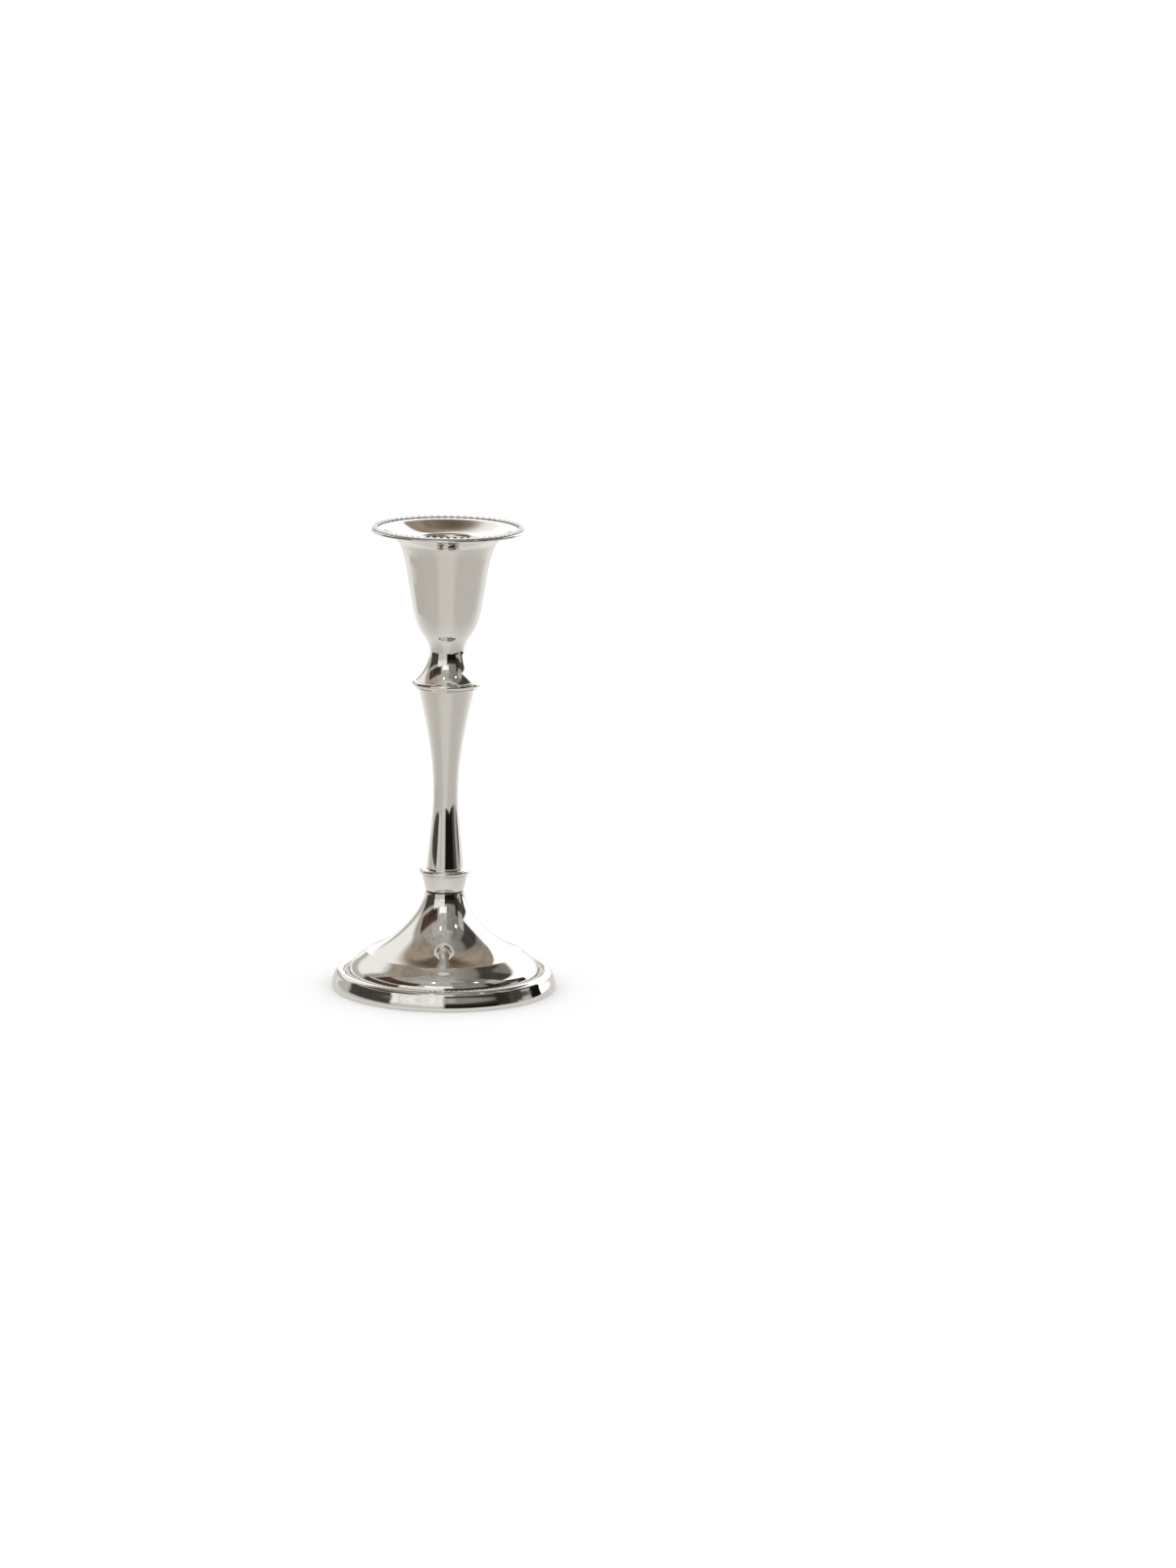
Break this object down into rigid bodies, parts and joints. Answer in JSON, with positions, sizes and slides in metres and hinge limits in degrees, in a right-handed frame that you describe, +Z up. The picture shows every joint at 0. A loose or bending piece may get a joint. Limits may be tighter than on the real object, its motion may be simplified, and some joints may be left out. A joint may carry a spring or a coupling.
{
  "type": "candlestick",
  "caption": "Round-footed table candlestick with a waisted stem on beaded foot, a trumpet cup and a beaded nozzle that lifts out.",
  "frame": {"origin": "centre of the foot's underside, on the surface that the candlestick stands on", "axes": "+Z up along the tie rod to the candle's bore; X and Y are any two directions across, because the object is round"},
  "size_m": [0.0864, 0.0864, 0.18],
  "materials": {
    "silver_plate": "polished silver plate over brass",
    "steel": "zinc plated",
    "iron": "turned grey iron",
    "board": "brown lacquered sheet",
    "felt": "pressed wool felt"
  },
  "bodies": {
    "stand": {"socket_cup": "silver_plate", "cup_washer": "steel", "cup_nut": "steel", "upper_knop": "silver_plate", "stem": "silver_plate", "lower_knop": "silver_plate", "collar": "silver_plate", "foot_shell": "silver_plate", "foot_beading": "silver_plate", "foot_rim": "silver_plate", "tie_rod": "steel", "weight": "iron", "base_washer": "steel", "base_nut": "steel", "base_plate": "board", "felt_pad": "felt"},
    "nozzle": {"drip_pan": "silver_plate", "nozzle_beading": "silver_plate", "candle_tube": "silver_plate", "nozzle_skirt": "silver_plate"}
  },
  "joints": [
    {"name": "nozzle_lift", "type": "slide", "parent": "stand", "child": "nozzle", "axis": [0, 0, 1], "range_m": [0, 0.03]}
  ]
}
